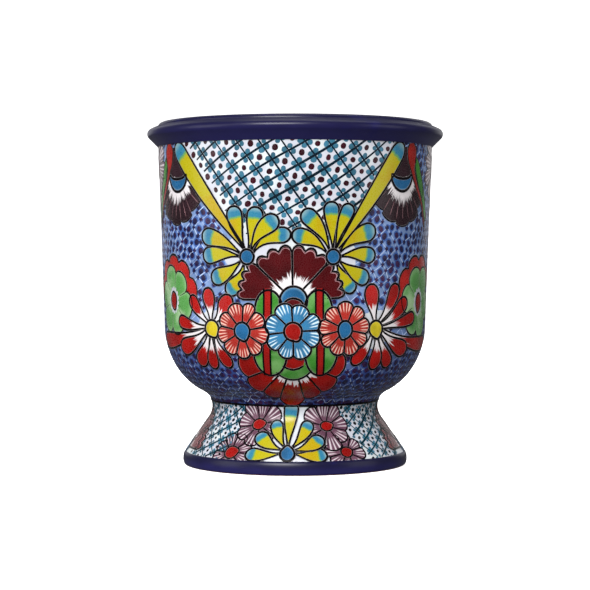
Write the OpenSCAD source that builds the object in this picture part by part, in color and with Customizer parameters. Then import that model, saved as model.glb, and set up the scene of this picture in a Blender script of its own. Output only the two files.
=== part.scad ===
// Footed earthenware urn planter, built as a potter builds it: a thrown bowl, a rim coil,
// a hollow pedestal and a foot coil, each luted to the next with a thin layer of slip.
// Units are millimetres. The axis is Z, and the resting face is at z = 0.

/* [Overall] */
// Height from the resting face to the crest of the lip
overall_h = 352; // [325:1:420]
// Diameter over the rim roll
rim_d = 305; // [280:1:366]
// Diameter over the foot roll
base_d = 232; // [212:1:278]

/* [Bowl] */
// Thickness of the bowl's wall
wall_t = 10; // [8:0.5:14]
// Thickness of the bowl's floor
floor_t = 14; // [10:1:20]
// How far the wall leans outwards between the belly and the lip
wall_lean = 7; // [0:0.5:12]
// Horizontal half axis of the belly's curve
belly_reach = 64; // [54:1:76]
// Vertical half axis of the belly's curve
belly_depth = 74; // [60:1:90]
// Height of the rounded crest of the lip
lip_round = 4; // [3:0.5:7]
// Diameter of the drain hole through the floor
drain_d = 22; // [12:1:36]

/* [Rim roll] */
// Height of the rim roll on the wall
rim_roll_h = 21; // [17:1:27]
// How far the rim roll stands out from the wall
rim_roll_out = 11; // [8:0.5:14]
// Distance from the foot of the lip down to the top of the rim roll
rim_roll_drop = 0; // [0:0.5:6]
// Radius of the rim roll's rounded nose
rim_nose_r = 5.5; // [3:0.5:5.5]
// Height of the nose, as a share of the rim roll's own height
rim_nose_rise = 0.62; // [0.5:0.01:0.66]

/* [Pedestal] */
// Height of the narrowest point of the neck
neck_h = 60; // [50:1:75]
// Diameter at the narrowest point of the neck
neck_d = 170; // [150:1:190]
// Radius of the hollow curve round the neck
cove_r = 18; // [12:1:22]
// Thickness of the pedestal's wall
pedestal_t = 11; // [8:0.5:14]

/* [Foot roll] */
// Height of the foot roll
foot_roll_h = 14; // [10:1:18]
// How far the foot roll stands out from the pedestal
foot_roll_out = 3; // [2:0.5:7]
// Height of the fullest part, as a share of the foot roll's own height
foot_nose_rise = 0.42; // [0.3:0.01:0.6]
// Depth of the seat that the foot roll is pressed into
foot_seat = 4; // [3:0.5:6]

/* [Joints] */
// Height of the neck seam above the narrowest point
seam_rise = 2; // [0:0.5:5]
// Thickness of the slip in the neck joint
neck_slip_t = 1.5; // [1:0.25:3]
// Thickness of the slip behind each coil
coil_slip_t = 1; // [0.5:0.25:2]
// Height of the locating ring turned on the bowl's underside
spigot_h = 6; // [4:1:9]
// Width of the locating ring
spigot_w = 8; // [6:1:12]

/* [Hidden] */
$fn = 128;
// Steps in each kind of curve
belly_steps = 16;
cove_steps = 5;
nose_steps = 6;
halvings = 40;

neck_r = neck_d / 2;
drain_r = drain_d / 2;
wall_top_r = rim_d / 2 - rim_roll_out;
wall_foot_r = wall_top_r - wall_lean;
belly_cx = wall_foot_r - belly_reach;

// The cove round the neck is a circle that touches the belly's ellipse from outside.
// The angle on the ellipse where they touch is found by halving.
function belly_offset(a) = [belly_reach * cos(a), belly_depth * sin(a)];
function belly_normal(a) = let (n = [cos(a) / belly_reach, sin(a) / belly_depth]) n / norm(n);
function cove_miss(a) =
    belly_cx + belly_offset(a)[0] + cove_r * belly_normal(a)[0] - neck_r - cove_r;
function touching(low, high, steps) =
    let (middle = (low + high) / 2)
    steps == 0 ? middle
    : cove_miss(middle) > 0 ? touching(low, middle, steps - 1)
    : touching(middle, high, steps - 1);

haunch_a = touching(-90, 0, halvings);
cove_c = [neck_r + cove_r, neck_h];
belly_z = neck_h - belly_offset(haunch_a)[1] - cove_r * belly_normal(haunch_a)[1];
haunch_z = belly_z + belly_offset(haunch_a)[1];

// The slip lies between the pedestal's collar and the bowl's base.
pedestal_h = neck_h + seam_rise;
bowl_base_z = pedestal_h + neck_slip_t;
floor_top_z = bowl_base_z + floor_t;
collar_r = neck_r - pedestal_t;
spigot_r = collar_r - neck_slip_t;

// The wall is a cone from the belly to the foot of the lip.
wall_top_z = overall_h - lip_round;
function wall_r(z) = wall_foot_r + wall_lean * (z - belly_z) / (wall_top_z - belly_z);

// The rim roll is seated on the wall, below the lip.
roll_top_z = wall_top_z - rim_roll_drop;
roll_low_z = roll_top_z - rim_roll_h;
roll_nose = [rim_d / 2 - rim_nose_r, roll_low_z + rim_nose_rise * rim_roll_h];

// Points on an ellipse about c, from angle a0 to angle a1.
function curve(c, rx, rz, a0, a1, steps) =
    [for (i = [0:steps]) let (a = a0 + (a1 - a0) * i / steps) c + [rx * cos(a), rz * sin(a)]];
// The angle at which a line from p touches a circle about c. Side is 1 or -1.
function touch_a(p, c, r, side) = let (d = p - c) atan2(d[1], d[0]) + side * acos(r / norm(d));
// The angle on the cove at height z, on the side that faces the axis.
function cove_a(z) = -180 - asin((z - neck_h) / cove_r);

// The pedestal's flare touches the cove and ends at the top of the foot roll.
pedestal_base_r = base_d / 2 - foot_roll_out;
flare_foot = [pedestal_base_r, foot_roll_h];
flare_a = touch_a(flare_foot, cove_c, cove_r, -1);
flare_top = cove_c + cove_r * [cos(flare_a), sin(flare_a)];
flare_side_t = pedestal_t * norm(flare_top - flare_foot) / (flare_top[1] - foot_roll_h);
pedestal_in_r = pedestal_base_r - flare_side_t;
seat_r = pedestal_base_r - foot_seat;
foot_nose_z = foot_nose_rise * foot_roll_h;

// The thrown bowl: a wall with a round lip, a belly, a flat floor with a drain hole, and
// the locating ring that drops into the pedestal's collar.
module bowl() {
    centre = [belly_cx, belly_z];
    color([0.30, 0.40, 0.70])
    rotate_extrude()
    polygon(concat(
        [[drain_r, bowl_base_z], [spigot_r - spigot_w, bowl_base_z]],
        [[spigot_r - spigot_w, bowl_base_z - spigot_h], [spigot_r, bowl_base_z - spigot_h]],
        [[spigot_r, bowl_base_z]],
        curve(cove_c, cove_r, cove_r, cove_a(bowl_base_z), cove_a(haunch_z), cove_steps),
        [for (p = curve(centre, belly_reach, belly_depth, haunch_a, 0, belly_steps))
            if (p[1] > haunch_z + 0.01) p],
        curve([wall_top_r - wall_t / 2, wall_top_z], wall_t / 2, lip_round, 0, 180, 2 * nose_steps),
        curve(centre, belly_reach - wall_t, belly_z - floor_top_z, 0, -90, belly_steps),
        [[drain_r, floor_top_z]]
    ));
}

// The layer of slip between the wall and the rim roll.
module rim_slip() {
    color([0.62, 0.36, 0.24])
    rotate_extrude()
    polygon([
        [wall_r(roll_low_z), roll_low_z], [wall_r(roll_low_z) + coil_slip_t, roll_low_z],
        [wall_r(roll_top_z) + coil_slip_t, roll_top_z], [wall_r(roll_top_z), roll_top_z]
    ]);
}

// The coil round the mouth: two slopes that run into a rounded nose.
module rim_roll() {
    low = [wall_r(roll_low_z) + coil_slip_t, roll_low_z];
    high = [wall_r(roll_top_z) + coil_slip_t, roll_top_z];
    nose_low_a = touch_a(low, roll_nose, rim_nose_r, 1);
    nose_high_a = touch_a(high, roll_nose, rim_nose_r, -1);
    color([0.09, 0.08, 0.33])
    rotate_extrude()
    polygon(concat(
        [low],
        curve(roll_nose, rim_nose_r, rim_nose_r, nose_low_a, nose_high_a, 2 * nose_steps),
        [high]
    ));
}

// The slip in the neck joint, on the collar's face and round the locating ring.
module neck_slip() {
    color([0.62, 0.36, 0.24])
    rotate_extrude()
    polygon(concat(
        [[spigot_r, bowl_base_z - spigot_h], [collar_r, bowl_base_z - spigot_h]],
        [[collar_r, pedestal_h]],
        curve(cove_c, cove_r, cove_r, cove_a(pedestal_h), cove_a(bowl_base_z), cove_steps),
        [[spigot_r, bowl_base_z]]
    ));
}

// The hollow pedestal: a collar, the cove, the flare, and the seat for the foot roll.
module pedestal() {
    color([0.90, 0.90, 0.88])
    rotate_extrude()
    polygon(concat(
        [[pedestal_in_r, 0], [seat_r, 0], [seat_r, foot_roll_h], flare_foot],
        curve(cove_c, cove_r, cove_r, flare_a, cove_a(pedestal_h), 2 * cove_steps),
        [[collar_r, pedestal_h], [collar_r, flare_top[1]], [pedestal_in_r, foot_roll_h]]
    ));
}

// The layer of slip behind the foot roll.
module foot_slip() {
    color([0.62, 0.36, 0.24])
    rotate_extrude()
    translate([seat_r, 0])
    square([coil_slip_t, foot_roll_h]);
}

// The coil round the base, fullest low down.
module foot_roll() {
    nose = [pedestal_base_r, foot_nose_z];
    color([0.09, 0.08, 0.33])
    rotate_extrude()
    polygon(concat(
        [[seat_r + coil_slip_t, 0]],
        curve(nose, foot_roll_out, foot_nose_z, -90, 0, nose_steps),
        [for (p = curve(nose, foot_roll_out, foot_roll_h - foot_nose_z, 0, 90, nose_steps))
            if (p[1] > foot_nose_z) p],
        [[seat_r + coil_slip_t, foot_roll_h]]
    ));
}

bowl();
rim_slip();
rim_roll();
neck_slip();
pedestal();
foot_slip();
foot_roll();
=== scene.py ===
import math
import random

import bmesh
import bpy
import numpy as np
from bpy.props import FloatProperty, FloatVectorProperty, IntProperty, PointerProperty
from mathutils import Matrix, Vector


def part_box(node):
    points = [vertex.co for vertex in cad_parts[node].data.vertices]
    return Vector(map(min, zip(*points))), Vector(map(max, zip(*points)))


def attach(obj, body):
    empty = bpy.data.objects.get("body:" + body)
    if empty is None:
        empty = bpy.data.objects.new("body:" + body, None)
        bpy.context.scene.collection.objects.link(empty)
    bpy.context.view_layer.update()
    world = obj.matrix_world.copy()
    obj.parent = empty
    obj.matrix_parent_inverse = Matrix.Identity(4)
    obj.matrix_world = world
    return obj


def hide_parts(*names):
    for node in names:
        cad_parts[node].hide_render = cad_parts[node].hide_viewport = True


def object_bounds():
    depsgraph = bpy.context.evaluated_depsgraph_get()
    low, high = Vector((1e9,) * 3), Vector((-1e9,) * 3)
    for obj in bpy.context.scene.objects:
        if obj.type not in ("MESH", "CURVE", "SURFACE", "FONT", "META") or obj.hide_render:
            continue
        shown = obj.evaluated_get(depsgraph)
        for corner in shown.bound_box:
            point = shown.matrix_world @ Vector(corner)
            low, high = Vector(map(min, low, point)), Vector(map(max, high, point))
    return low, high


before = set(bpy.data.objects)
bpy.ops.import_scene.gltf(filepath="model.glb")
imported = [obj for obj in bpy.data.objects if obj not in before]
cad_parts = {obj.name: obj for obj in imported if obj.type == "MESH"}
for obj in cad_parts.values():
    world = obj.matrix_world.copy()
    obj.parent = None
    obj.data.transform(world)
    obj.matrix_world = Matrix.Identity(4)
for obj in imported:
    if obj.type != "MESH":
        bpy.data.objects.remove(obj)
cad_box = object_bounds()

bl_info = {
    "name": "Painted Urn Planter",
    "version": (1, 0, 0),
    "blender": (4, 5, 0),
    "location": "View3D > Sidebar > Planter",
    "description": "Glazes and paints a footed earthenware urn planter around its turned bodies",
    "category": "Object",
}

MM = 0.001
BODY = "root"
WELD = 0.002 * MM
UNDERSIDE = -0.3 * MM
CAMERA_LENS = 109.8
CAMERA_PLACE = (0, -1.867, 0.217)
CAMERA_TILT = 90 - 1.305
# The painted panel stands at the front, and again half a turn round.
HALVES = {"front": 0, "back": 1}


def rgb(code):
    """The linear colour of a six-figure hex code."""
    parts = [int(code[i:i + 2], 16) / 255 for i in (0, 2, 4)]
    return tuple(p / 12.92 if p <= 0.04045 else ((p + 0.055) / 1.055) ** 2.4 for p in parts)


# ==== Sizes and colours ====


def length_property(name, description, millimetres):
    return FloatProperty(name=name, description=description, default=millimetres * MM,
                         subtype="DISTANCE", unit="LENGTH", precision=5)


def colour_property(name, description, code):
    return FloatVectorProperty(name=name, description=description, default=rgb(code),
                               subtype="COLOR", size=3, min=0, max=1)


class PlanterSizes(bpy.types.PropertyGroup):
    """Sizes that a potter or painter would choose."""
    segments: IntProperty(name="Segments", description="Faces round a turned body",
                          default=240, min=48, max=360)
    wobble: length_property("Wobble", "How far the hand-thrown wall strays from a true circle", 0.35)
    relief: length_property("Relief", "Height of one layer of enamel above the next", 0.15)
    dome: length_property("Dome", "How much a fill of enamel swells in its middle", 0.08)
    outline: length_property("Outline", "Width of the black outlines", 2.15)
    halo: length_property("Halo", "Width of the bare margin that the black outlines run in", 2.65)
    net: length_property("Net", "Width of the pale net's lines on the blue ground", 0.9)
    ground_dot: length_property("Ground dot", "Diameter of the ground's dark dots", 5.5)
    ground_wash: length_property("Ground wash", "Diameter of the ground's blue washes", 8.3)
    lattice_dot: length_property("Lattice dot", "Diameter of the dot in each cell of the lattice", 5.9)
    lattice_dab: length_property("Lattice dab", "Diameter of the four dabs round each crossing", 5.5)


class PlanterColours(bpy.types.PropertyGroup):
    """The painter's palette."""
    outline: colour_property("Outline", "Black of the outlines", "08060a")
    rim: colour_property("Rim", "Dark cobalt of the rim and the foot", "1a1840")
    white: colour_property("White", "Tin-white ground of the lattice", "c9cbd5")
    ground_light: colour_property("Ground light", "Pale blue between the ground's dabs", "7690be")
    ground_mid: colour_property("Ground mid", "Blue of the ground's dabs", "395a9c")
    ground_dark: colour_property("Ground dark", "Navy of the ground's dots", "17133a")
    yellow: colour_property("Yellow", "Yellow of the fans", "b0a60f")
    gold: colour_property("Gold", "Warmer yellow where the fans' glaze is thick", "b2980c")
    petal_blue: colour_property("Petal blue", "Blue of the fans' tips and of the centres", "236393")
    green: colour_property("Green", "Green of the leaves", "3f8c30")
    leaf_light: colour_property("Leaf light", "Light green where the leaves' glaze is thin", "7aae68")
    red: colour_property("Red", "Red of the burst flowers", "b3140f")
    maroon: colour_property("Maroon", "Wine red of the scalloped flower", "500a10")
    brick: colour_property("Brick", "Brick red of the daisies", "b03028")
    sky: colour_property("Sky", "Light blue of the middle daisy", "3980ae")
    plum: colour_property("Plum", "Purple streaks of the side flowers", "6a4658")
    umber: colour_property("Umber", "Dark brown of the eyed feathers", "2c1820")
    teal: colour_property("Teal", "Teal of the lattice dabs", "34687f")
    lattice_ink: colour_property("Lattice ink", "Blue-black of the lattice strokes", "0a1c28")
    clay: colour_property("Clay", "Bare fired clay", "a2583a")


# ==== Node trees written as Python expressions ====


class Wire:
    """An output socket that Python expressions can use."""

    def __init__(self, tree, socket):
        self.tree = tree
        self.socket = socket

    def out(self, name):
        """Another output of the same node."""
        return Wire(self.tree, find_socket(self.socket.node.outputs, name))

    def maths(self, operation, *others):
        return self.tree.maths(operation, self, *others)

    def __add__(self, other):
        return self.maths("ADD", other)

    __radd__ = __add__

    def __sub__(self, other):
        return self.maths("SUBTRACT", other)

    def __rsub__(self, other):
        return self.tree.maths("SUBTRACT", other, self)

    def __mul__(self, other):
        return self.maths("MULTIPLY", other)

    __rmul__ = __mul__

    def __truediv__(self, other):
        return self.maths("DIVIDE", other)

    def __rtruediv__(self, other):
        return self.tree.maths("DIVIDE", other, self)

    def __neg__(self):
        return self.maths("MULTIPLY", -1)


def find_socket(sockets, key):
    """A socket by its place, its identifier or its name."""
    if isinstance(key, int):
        return sockets[key]
    for socket in sockets:
        if socket.identifier == key:
            return socket
    return sockets[key]


class Tree:
    """Adds nodes to a shader's or a geometry's node tree."""

    def __init__(self, tree):
        self.tree = tree

    def node(self, kind, settings=None, inputs=None, output=0):
        """Adds a node of a kind, sets its settings and then its sockets, and returns one output."""
        node = self.tree.nodes.new(kind)
        for name, value in (settings or {}).items():
            if name == "stops":
                self.set_stops(node.color_ramp, value)
            else:
                setattr(node, name, value)
        for key, value in (inputs or {}).items():
            socket = find_socket(node.inputs, key)
            if isinstance(value, Wire):
                self.tree.links.new(value.socket, socket)
            else:
                socket.default_value = value
        return Wire(self, find_socket(node.outputs, output)) if node.outputs else node

    @staticmethod
    def set_stops(ramp, stops):
        while len(ramp.elements) < len(stops):
            ramp.elements.new(1)
        for element, (position, value) in zip(ramp.elements, stops):
            element.position = position
            element.color = (value, value, value, 1)

    def maths(self, operation, *values):
        return self.node("ShaderNodeMath", {"operation": operation}, dict(enumerate(values)))

    def combine(self, x, y, z):
        return self.node("ShaderNodeCombineXYZ", {}, {"X": x, "Y": y, "Z": z})

    def separate(self, vector):
        return self.node("ShaderNodeSeparateXYZ", {}, {"Vector": vector})

    def smooth(self, value, low, high):
        """0 below low, 1 above high, with an even curve between."""
        return self.node("ShaderNodeMapRange", {"interpolation_type": "SMOOTHSTEP"},
                         {"Value": value, "From Min": low, "From Max": high})

    def mix(self, a, b, factor):
        """Colour a where the factor is 0 and colour b where it is 1."""
        inputs = {"Factor_Float": factor}
        for key, colour in (("A_Color", a), ("B_Color", b)):
            inputs[key] = colour if isinstance(colour, Wire) else (*colour, 1)
        return self.node("ShaderNodeMix", {"data_type": "RGBA"}, inputs, "Result_Color")

    def noise(self, vector, scale, detail=3.0, roughness=0.5):
        return self.node("ShaderNodeTexNoise", {}, {
            "Vector": vector, "Scale": scale, "Detail": detail, "Roughness": roughness})


# ==== Glazes ====


class Glaze(Tree):
    """A fired glaze: a colour, a glassy skin with a faint orange peel, and pinholes of roughness."""

    def __init__(self, name):
        self.material = bpy.data.materials.new(name)
        self.material.use_nodes = True
        super().__init__(self.material.node_tree)
        self.tree.nodes.clear()
        self.place = self.node("ShaderNodeTexCoord", {}, {}, "Object")
        across = self.node("ShaderNodeUVMap", {"uv_map": "UVMap"})
        flat = self.separate(across)
        self.along, self.side = flat.out("X"), flat.out("Y")
        self.tone = self.node("ShaderNodeAttribute", {"attribute_name": "tone"}, {}, "Fac")

    def cloud(self, scale, detail=3.0, low=0.3, high=0.7, roughness=0.5):
        """Soft clouds: 0 where the noise is under low, 1 where it is over high."""
        return self.smooth(self.noise(self.place, scale, detail, roughness), low, high)

    def jags(self, count, tone_step=37.0):
        """Noise that changes across a petal and stays the same along it, like a brush's hairs."""
        return self.noise(self.combine(self.side * count, self.tone * tone_step, 0.0), 1.0, 2.0)

    def edge(self, start):
        """1 at the two sides and the tip of a petal, and 0 inside it."""
        side = (self.side - 0.5).maths("ABSOLUTE") * 2
        return self.smooth(side.maths("MAXIMUM", self.along), start, 1.0)

    def finish(self, colour, rough=0.22, rough_range=0.12, peel=0.12, peel_scale=260.0, gloss=0.3):
        """Ends the tree in a glassy skin and returns the material."""
        speckle = self.noise(self.place, 900.0, 2.0)
        skin = self.noise(self.place, peel_scale, 3.0, 0.55)
        return self.surface(colour, rough + rough_range * speckle, skin, peel, 0.4 * MM, gloss)

    def surface(self, colour, rough, height, strength, distance, gloss):
        bump = self.node("ShaderNodeBump", {}, {
            "Strength": strength, "Distance": distance, "Height": height}, "Normal")
        shader = self.node("ShaderNodeBsdfPrincipled", {}, {
            "Base Color": colour, "Roughness": rough, "Normal": bump, "Specular IOR Level": gloss})
        self.node("ShaderNodeOutputMaterial", {}, {"Surface": shader})
        return self.material


def shade(colour, factor):
    """A colour made darker or lighter by a factor."""
    return tuple(min(1.0, c * factor) for c in colour)


def plain_glaze(name, colour, variation=0.25, scale=60.0, **skin):
    """One colour, uneven as a brushed glaze is, and thinner at the edges of each stroke."""
    glaze = Glaze(name)
    thin, thick = shade(colour, 1 - variation), shade(colour, 1 + variation)
    return glaze.finish(glaze.mix(thin, thick, glaze.cloud(scale, 4.0)), **skin)


def white_glaze(colours):
    glaze = Glaze("tin_white_glaze")
    colour = glaze.mix(colours.white, shade(colours.white, 0.9), glaze.cloud(70.0, 4.0, 0.35, 0.7))
    cool = glaze.cloud(38.0, 2.0, 0.45, 0.65)
    return glaze.finish(glaze.mix(colour, rgb("dfe9e4"), cool * 0.5), rough=0.2)


def cobalt_glaze(colours, low, high):
    """Cobalt with painted light and shade: lighter on the lower side, as if lit from below, and darker
    towards the top.
    """
    glaze = Glaze("cobalt_glaze")
    height = glaze.separate(glaze.place).out("Z")
    streak = glaze.noise(glaze.place, 45.0, 5.0)
    # Painted light and shade: 0 low on the body, where the cobalt is lightened as if lit from below, and 1
    # at the top, where it is darkened
    painted_shade_above = glaze.smooth(height + 0.006 * streak, low, high)
    colour = glaze.mix(shade(colours.rim, 1.9), shade(colours.rim, 0.7), painted_shade_above)
    colour = glaze.mix(colour, rgb("1c1a60"), glaze.smooth(streak, 0.55, 0.8) * 0.5)
    return glaze.finish(colour, rough=0.26, peel=0.08, peel_scale=150.0, gloss=0.25)


def ground_glaze(name, colour, deep):
    """The blue ground: in soft clouds, and deeper towards the neck, partly where the glaze ran thick and
    partly as painted shade under the belly, which faces down.
    """
    glaze = Glaze(name)
    height = glaze.separate(glaze.place).out("Z")
    body = glaze.mix(shade(colour, 1.2), shade(colour, 0.75), glaze.cloud(45.0, 4.0, roughness=0.6))
    # 1 towards the neck: the deeper blue there is partly denser glaze and partly painted shade under the
    #                     belly
    low = glaze.smooth(height + glaze.noise(glaze.place, 20.0) * 0.04, 0.19, 0.10)
    return glaze.finish(glaze.mix(body, deep, low * 0.85))


def dot_glaze(colours):
    """Navy dots with a breath of wine red."""
    glaze = Glaze("ground_dot_glaze")
    return glaze.finish(glaze.mix(colours.ground_dark, rgb("3a1c44"), glaze.cloud(70.0, 3.0, 0.42, 0.62)))


def fan_glaze(colours):
    """Yellow petals with a blue tip and a green edge where the two colours ran together."""
    glaze = Glaze("fan_petal_glaze")
    ragged = glaze.along + (glaze.jags(3.0) - 0.5) * 0.1
    body = glaze.mix(colours.yellow, colours.gold, glaze.cloud(30.0, 3.0, 0.48, 0.66))
    run = glaze.mix(body, rgb("4f9a5c"), glaze.smooth(ragged, 0.71, 0.75) * 0.85)
    tip = glaze.mix(colours.petal_blue, rgb("3a8a9c"), glaze.jags(2.0))
    colour = glaze.mix(run, tip, glaze.smooth(ragged, 0.75, 0.79))
    pale = glaze.mix(colour, rgb("b9cfc0"), glaze.edge(0.86) * 0.45)
    return glaze.finish(pale)


def feathered_glaze(name, colour, white_to, jag=0.16, deep=0.6, edge=0.35, hairs=9.0):
    """A petal that the brush pulled out of a white base in jagged hairs."""
    glaze = Glaze(name)
    ragged = glaze.along + (glaze.jags(hairs) - 0.5) * 2 * jag
    body = glaze.mix(colour, shade(colour, deep), glaze.cloud(48.0))
    body = glaze.mix(body, shade(colour, 1.9), glaze.edge(0.9) * edge)
    colour = glaze.mix(rgb("e6e0e2"), body, glaze.smooth(ragged, white_to - 0.02, white_to + 0.05))
    return glaze.finish(colour)


def streaked_glaze(name, colour, streak, count=5.0, start=0.45, amount=0.9):
    """A petal with fine pale hairs combed in from its rim."""
    glaze = Glaze(name)
    wave = (glaze.side * (2 * math.pi * count) + glaze.jags(6.0) * 5.0).maths("SINE")
    reach = glaze.along + (glaze.jags(11.0) - 0.5) * 0.5
    hair = glaze.smooth(wave, 0.1, 0.7) * glaze.smooth(reach, start, start + 0.2)
    body = glaze.mix(colour, shade(colour, 0.7), glaze.cloud(60.0))
    return glaze.finish(glaze.mix(body, streak, hair * amount))


def leaf_glaze(name, colour, light):
    """Green that is lighter where the glaze is thin."""
    glaze = Glaze(name)
    body = glaze.mix(colour, shade(colour, 0.6), glaze.cloud(50.0, 3.0, 0.3, 0.75) * 0.7)
    thin = glaze.cloud(34.0, 2.0, 0.5, 0.72)
    body = glaze.mix(body, light, (glaze.edge(0.75) * 0.4).maths("MAXIMUM", thin * 0.75))
    return glaze.finish(body)


def bead_glaze(name, colour, light):
    """An egg-shaped centre with a lighter ring at its edge."""
    glaze = Glaze(name)
    body = glaze.mix(colour, shade(colour, 0.7), glaze.cloud(80.0, 3.0, 0.35, 0.7))
    return glaze.finish(glaze.mix(body, light, glaze.smooth(glaze.along, 0.72, 0.98) * 0.5))


def clay_body(colours):
    """Bare, fired, porous clay."""
    clay = Glaze("bare_clay")
    grain = clay.noise(clay.place, 700.0, 3.0, 0.7)
    rings = (clay.separate(clay.place).out("Z") * 900.0).maths("SINE") * 0.5 + 0.5
    colour = clay.mix(colours.clay, shade(colours.clay, 0.7), clay.cloud(25.0, 5.0, roughness=0.6))
    colour = clay.mix(colour, rgb("c9886a"), clay.smooth(grain, 0.55, 0.8) * 0.5)
    return clay.surface(colour, 0.75 + 0.2 * grain, grain + 0.4 * rings, 0.35, 0.5 * MM, 0.5)


# ==== The pot's section, read from the CAD bodies ====


def section(node):
    """The closed outline of a turned body as (radius, height) points, outer side upwards."""
    mesh = bmesh.new()
    mesh.from_mesh(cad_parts[node].data)
    bmesh.ops.remove_doubles(mesh, verts=mesh.verts, dist=0.001 * MM)
    rings = np.array([(math.hypot(v.co.x, v.co.y), v.co.z) for v in mesh.verts])
    # The cutting plane is turned a little, so that it meets no vertex. A cut point that lies on no
    # ring of vertices comes from a face's diagonal and is dropped.
    slant, ring_gap, same = 0.037, 0.25 * MM, 0.01 * MM
    cut = bmesh.ops.bisect_plane(
        mesh, geom=mesh.verts[:] + mesh.edges[:] + mesh.faces[:],
        plane_co=(0, 0, 0), plane_no=(-math.sin(slant), math.cos(slant), 0))["geom_cut"]
    near = {}
    for edge in (e for e in cut if isinstance(e, bmesh.types.BMEdge)):
        a, b = edge.verts
        if a.co.x > 0 and b.co.x > 0:
            near.setdefault(a, []).append(b)
            near.setdefault(b, []).append(a)
    start = next(iter(near))
    loop, before, here = [start], None, start
    while True:
        there = next((v for v in near[here] if v is not before), None)
        if there is None or there is start:
            break
        loop.append(there)
        before, here = here, there
    points = []
    for vert in loop:
        place = np.array((math.hypot(vert.co.x, vert.co.y), vert.co.z))
        ring = rings[np.argmin(np.sum((rings - place) ** 2, axis=1))]
        on_ring = np.linalg.norm(ring - place) < ring_gap
        if on_ring and (not points or np.linalg.norm(ring - points[-1]) > same):
            points.append(ring)
    mesh.free()
    if np.linalg.norm(points[0] - points[-1]) < same:
        points.pop()
    points = np.array(points)
    ahead = np.roll(points, -1, axis=0)
    area = np.sum(points[:, 0] * ahead[:, 1] - ahead[:, 0] * points[:, 1])
    return points if area > 0 else points[::-1]


def hermite(a, b, leave, arrive, t):
    """The point a share t of the way from a to b, on a curve that leaves and arrives as told."""
    return ((2 * t ** 3 - 3 * t ** 2 + 1) * a + (3 * t ** 2 - 2 * t ** 3) * b
            + (t ** 3 - 2 * t ** 2 + t) * leave + (t ** 3 - t ** 2) * arrive)


def rounded(outline, step, corner=math.radians(35)):
    """A closed outline with its shallow corners turned into curves and its sharp ones kept."""
    points = []
    for a, b in zip(outline, np.roll(outline, -1, axis=0)):
        parts = max(1, round(np.linalg.norm(b - a) / (4 * step)))
        points += [a + (b - a) * i / parts for i in range(parts)]
    points = np.array(points)
    ahead = np.roll(points, -1, axis=0) - points
    length = np.linalg.norm(ahead, axis=1)[:, None]
    ahead = ahead / length
    behind, before = np.roll(ahead, 1, axis=0), np.roll(length, 1, axis=0)
    tangent = behind * length + ahead * before
    tangent /= np.linalg.norm(tangent, axis=1)[:, None]
    sharp = np.sum(ahead * behind, axis=1) < math.cos(corner)
    curve = []
    for i in range(len(points)):
        j = (i + 1) % len(points)
        start = ahead[i] if sharp[i] else tangent[i]
        end = ahead[i] if sharp[j] else tangent[j]
        parts = max(2, math.ceil(length[i, 0] / step))
        curve += [hermite(points[i], points[j], length[i] * start, length[i] * end, t)
                  for t in np.arange(parts) / parts]
    return np.array(curve)


def outer_radius(outlines, heights):
    """The radius of the outermost body at each height."""
    radius = np.zeros(len(heights))
    for outline in outlines:
        for a, b in zip(outline, np.roll(outline, -1, axis=0)):
            low, high = (a, b) if a[1] < b[1] else (b, a)
            inside = (heights >= low[1]) & (heights <= high[1])
            if high[1] - low[1] > 1e-9:
                reach = np.interp(heights[inside], [low[1], high[1]], [low[0], high[0]])
                radius[inside] = np.maximum(radius[inside], reach)
    return radius


SECTION_STEP = 3.0 * MM
SECTIONS = {name: rounded(section(name), SECTION_STEP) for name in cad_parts}
FOOT_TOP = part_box("foot_roll")[1].z
SEAM_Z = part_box("neck_slip")[1].z
RIM_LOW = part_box("rim_roll")[0].z
RIM_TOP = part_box("rim_roll")[1].z


class Wall:
    """The painted wall's own line, from inside the foot roll to behind the rim roll."""

    def __init__(self):
        heights = np.arange(FOOT_TOP, RIM_TOP, 0.5 * MM)
        bodies = [SECTIONS[name] for name in ("bowl", "neck_slip", "pedestal")]
        radii = outer_radius(bodies, heights)
        soft = np.hanning(7)
        padded = np.pad(radii, 3, mode="edge")
        radii = np.convolve(padded, soft / soft.sum(), mode="valid")
        self.height = np.concatenate([[FOOT_TOP - 8 * MM], heights])
        self.radius = np.concatenate([[radii[0]], radii])
        steps = np.hypot(np.diff(self.radius), np.diff(self.height))
        self.length = np.concatenate([[0], np.cumsum(steps)])
        self.seam = float(np.interp(SEAM_Z, self.height, self.length))
        self.rim = float(np.interp(RIM_LOW, self.height, self.length)) - self.seam

    def curve(self):
        """The wall's line as a curve object, radius along X and height along Z."""
        points = [(radius, 0, height) for radius, height in zip(self.radius, self.height)]
        return line_object("wall_line", [(points, None, False)])

    def radius_at(self, along):
        return np.interp(along + self.seam, self.length, self.radius)


def link(obj):
    bpy.context.scene.collection.objects.link(obj)
    return obj


def line_object(name, lines):
    """A curve object of straight-sided lines, each (points, radii or None, closed)."""
    data = bpy.data.curves.new(name, "CURVE")
    data.dimensions = "3D"
    for points, radii, closed in lines:
        spline = data.splines.new("POLY")
        spline.points.add(len(points) - 1)
        spline.use_cyclic_u = closed
        for number, (target, point) in enumerate(zip(spline.points, points)):
            target.co = (*point, 1)
            if radii is not None:
                target.radius = radii[number]
    return link(bpy.data.objects.new(name, data))


WALL = Wall()
# The bowl's plan is drawn at the radius of the belly, and the pedestal's at its middle radius.
BOWL_REACH = 138 * MM
PEDESTAL_REACH = 100 * MM


# ==== Meshes ====


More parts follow.
